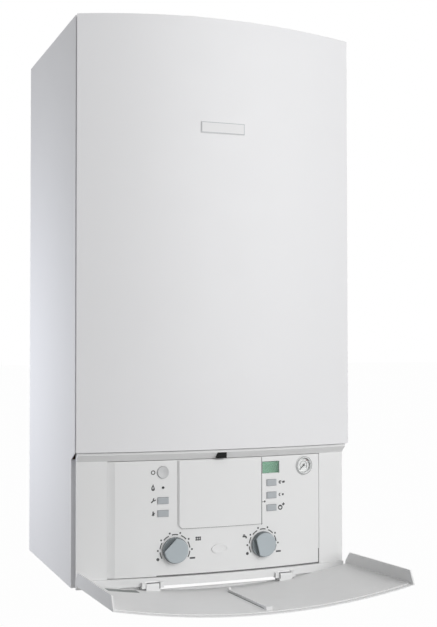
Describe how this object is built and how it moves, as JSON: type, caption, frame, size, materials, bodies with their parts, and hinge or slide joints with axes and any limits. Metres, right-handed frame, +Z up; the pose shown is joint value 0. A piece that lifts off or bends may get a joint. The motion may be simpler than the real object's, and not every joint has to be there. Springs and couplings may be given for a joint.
{
  "type": "wall-hung gas boiler",
  "caption": "White wall-hung gas boiler with a bowed front panel and a drop-down flap over two knobs, push keys, a display and a pressure gauge",
  "frame": {"origin": "middle of the back's lower edge, on the wall plane", "axes": "+Z up, +Y into the wall, +X to the right as seen from the room"},
  "size_m": [0.44, 0.554, 0.92],
  "materials": {
    "white_steel": "satin enamel",
    "zinc_steel": "bare zinc coat",
    "white_plastic": "fine grain",
    "grey_plastic": "fine grain",
    "dark_plastic": "matt",
    "clear_plastic": "clear",
    "dial_white": "matt",
    "soft_rubber": "foam",
    "aluminium_cast": "as cast",
    "copper": "bright drawn",
    "yellow_brass": "as cast",
    "stainless": "brushed",
    "red_enamel": "gloss enamel"
  },
  "bodies": {
    "casing": {"air_collar": "white_plastic", "back_plate": "zinc_steel", "base_tray": "zinc_steel", "blank_cover": "white_plastic", "burner": "stainless", "cable_gland": "dark_plastic", "casing_screws": "zinc_steel", "chamber_insulation": "dial_white", "cold_water_pipe": "copper", "combustion_chamber": "zinc_steel", "control_board": "dark_plastic", "control_fascia": "white_plastic", "control_housing": "dark_plastic", "display_module": "dark_plastic", "display_window": "clear_plastic", "diverter_valve": "yellow_brass", "electrodes": "dial_white", "expansion_vessel": "red_enamel", "fan_housing": "zinc_steel", "fan_motor": "dark_plastic", "flow_pipe": "copper", "flue_hood": "zinc_steel", "flue_spigot": "aluminium_cast", "gas_pipe": "copper", "gas_valve": "zinc_steel", "gauge_case": "grey_plastic", "gauge_dial": "dial_white", "gauge_lens": "clear_plastic", "heat_exchanger": "copper", "hot_water_pipe": "copper", "indicator_lens": "clear_plastic", "left_side_panel": "white_steel", "lower_fascia": "white_plastic", "plate_heat_exchanger": "stainless", "potentiometers": "dark_plastic", "pump_body": "yellow_brass", "pump_motor": "dark_plastic", "return_pipe": "copper", "right_side_panel": "white_steel", "safety_valve": "yellow_brass", "status_lamp": "clear_plastic", "top_panel": "white_steel"},
    "front_panel": {"front_panel": "white_steel", "badge_plate": "grey_plastic", "panel_seal": "soft_rubber"},
    "flap": {"flap": "white_plastic"},
    "heating_knob": {"heating_knob": "grey_plastic", "heating_spindle": "aluminium_cast"},
    "hot_water_knob": {"hot_water_knob": "grey_plastic", "hot_water_spindle": "aluminium_cast"},
    "panel_catch": {"panel_catch": "dark_plastic"},
    "gauge_needle": {"gauge_needle": "dark_plastic"},
    "fan_impeller": {"fan_impeller": "aluminium_cast"},
    "pump_rotor": {"pump_rotor": "dark_plastic"},
    "main_switch": {"main_switch": "grey_plastic"},
    "service_button": {"service_button": "grey_plastic"},
    "reset_button": {"reset_button": "grey_plastic"},
    "mode_button": {"mode_button": "grey_plastic"},
    "up_button": {"up_button": "grey_plastic"},
    "down_button": {"down_button": "grey_plastic"}
  },
  "joints": [
    {"name": "front_panel_removal", "type": "slide", "parent": "casing", "child": "front_panel", "axis": [0, -1, 0], "range_m": [0, 0.15]},
    {"name": "flap_hinge", "type": "hinge", "parent": "casing", "child": "flap", "pos_m": [0, -0.357, 0.003], "axis": [-1, 0, 0], "range_deg": [0, 87.6]},
    {"name": "heating_knob_turn", "type": "hinge", "parent": "casing", "child": "heating_knob", "pos_m": [-0.0708, -0.35471, 0.052], "axis": [-0.0646, -0.9979, 0], "range_deg": [-81, 171]},
    {"name": "hot_water_knob_turn", "type": "hinge", "parent": "casing", "child": "hot_water_knob", "pos_m": [0.0708, -0.35471, 0.052], "axis": [0.0646, -0.9979, 0], "range_deg": [-139.4, 112.6]},
    {"name": "main_switch_press", "type": "slide", "parent": "casing", "child": "main_switch", "axis": [0.0811, 0.9967, 0], "range_m": [0, 0.0012], "stiffness_N_per_m": 400},
    {"name": "service_button_press", "type": "slide", "parent": "casing", "child": "service_button", "axis": [0.0811, 0.9967, 0], "range_m": [0, 0.0012], "stiffness_N_per_m": 400},
    {"name": "reset_button_press", "type": "slide", "parent": "casing", "child": "reset_button", "axis": [0.0811, 0.9967, 0], "range_m": [0, 0.0012], "stiffness_N_per_m": 400},
    {"name": "mode_button_press", "type": "slide", "parent": "casing", "child": "mode_button", "axis": [-0.0784, 0.9969, 0], "range_m": [0, 0.0012], "stiffness_N_per_m": 400},
    {"name": "up_button_press", "type": "slide", "parent": "casing", "child": "up_button", "axis": [-0.0784, 0.9969, 0], "range_m": [0, 0.0012], "stiffness_N_per_m": 400},
    {"name": "down_button_press", "type": "slide", "parent": "casing", "child": "down_button", "axis": [-0.0784, 0.9969, 0], "range_m": [0, 0.0012], "stiffness_N_per_m": 400},
    {"name": "panel_catch_press", "type": "slide", "parent": "casing", "child": "panel_catch", "axis": [0, 1, 0], "range_m": [0, 0.002], "stiffness_N_per_m": 400},
    {"name": "gauge_needle_turn", "type": "hinge", "parent": "casing", "child": "gauge_needle", "pos_m": [0.1439, -0.34751, 0.1685], "axis": [0.1313, -0.9913, 0], "range_deg": [-270, 0]},
    {"name": "fan_spin", "type": "hinge", "parent": "casing", "child": "fan_impeller", "pos_m": [-0.024, -0.195, 0.757], "axis": [0, -1, 0], "continuous": true},
    {"name": "pump_spin", "type": "hinge", "parent": "casing", "child": "pump_rotor", "pos_m": [0.14997, -0.1375, 0.168], "axis": [0, -1, 0], "continuous": true}
  ]
}
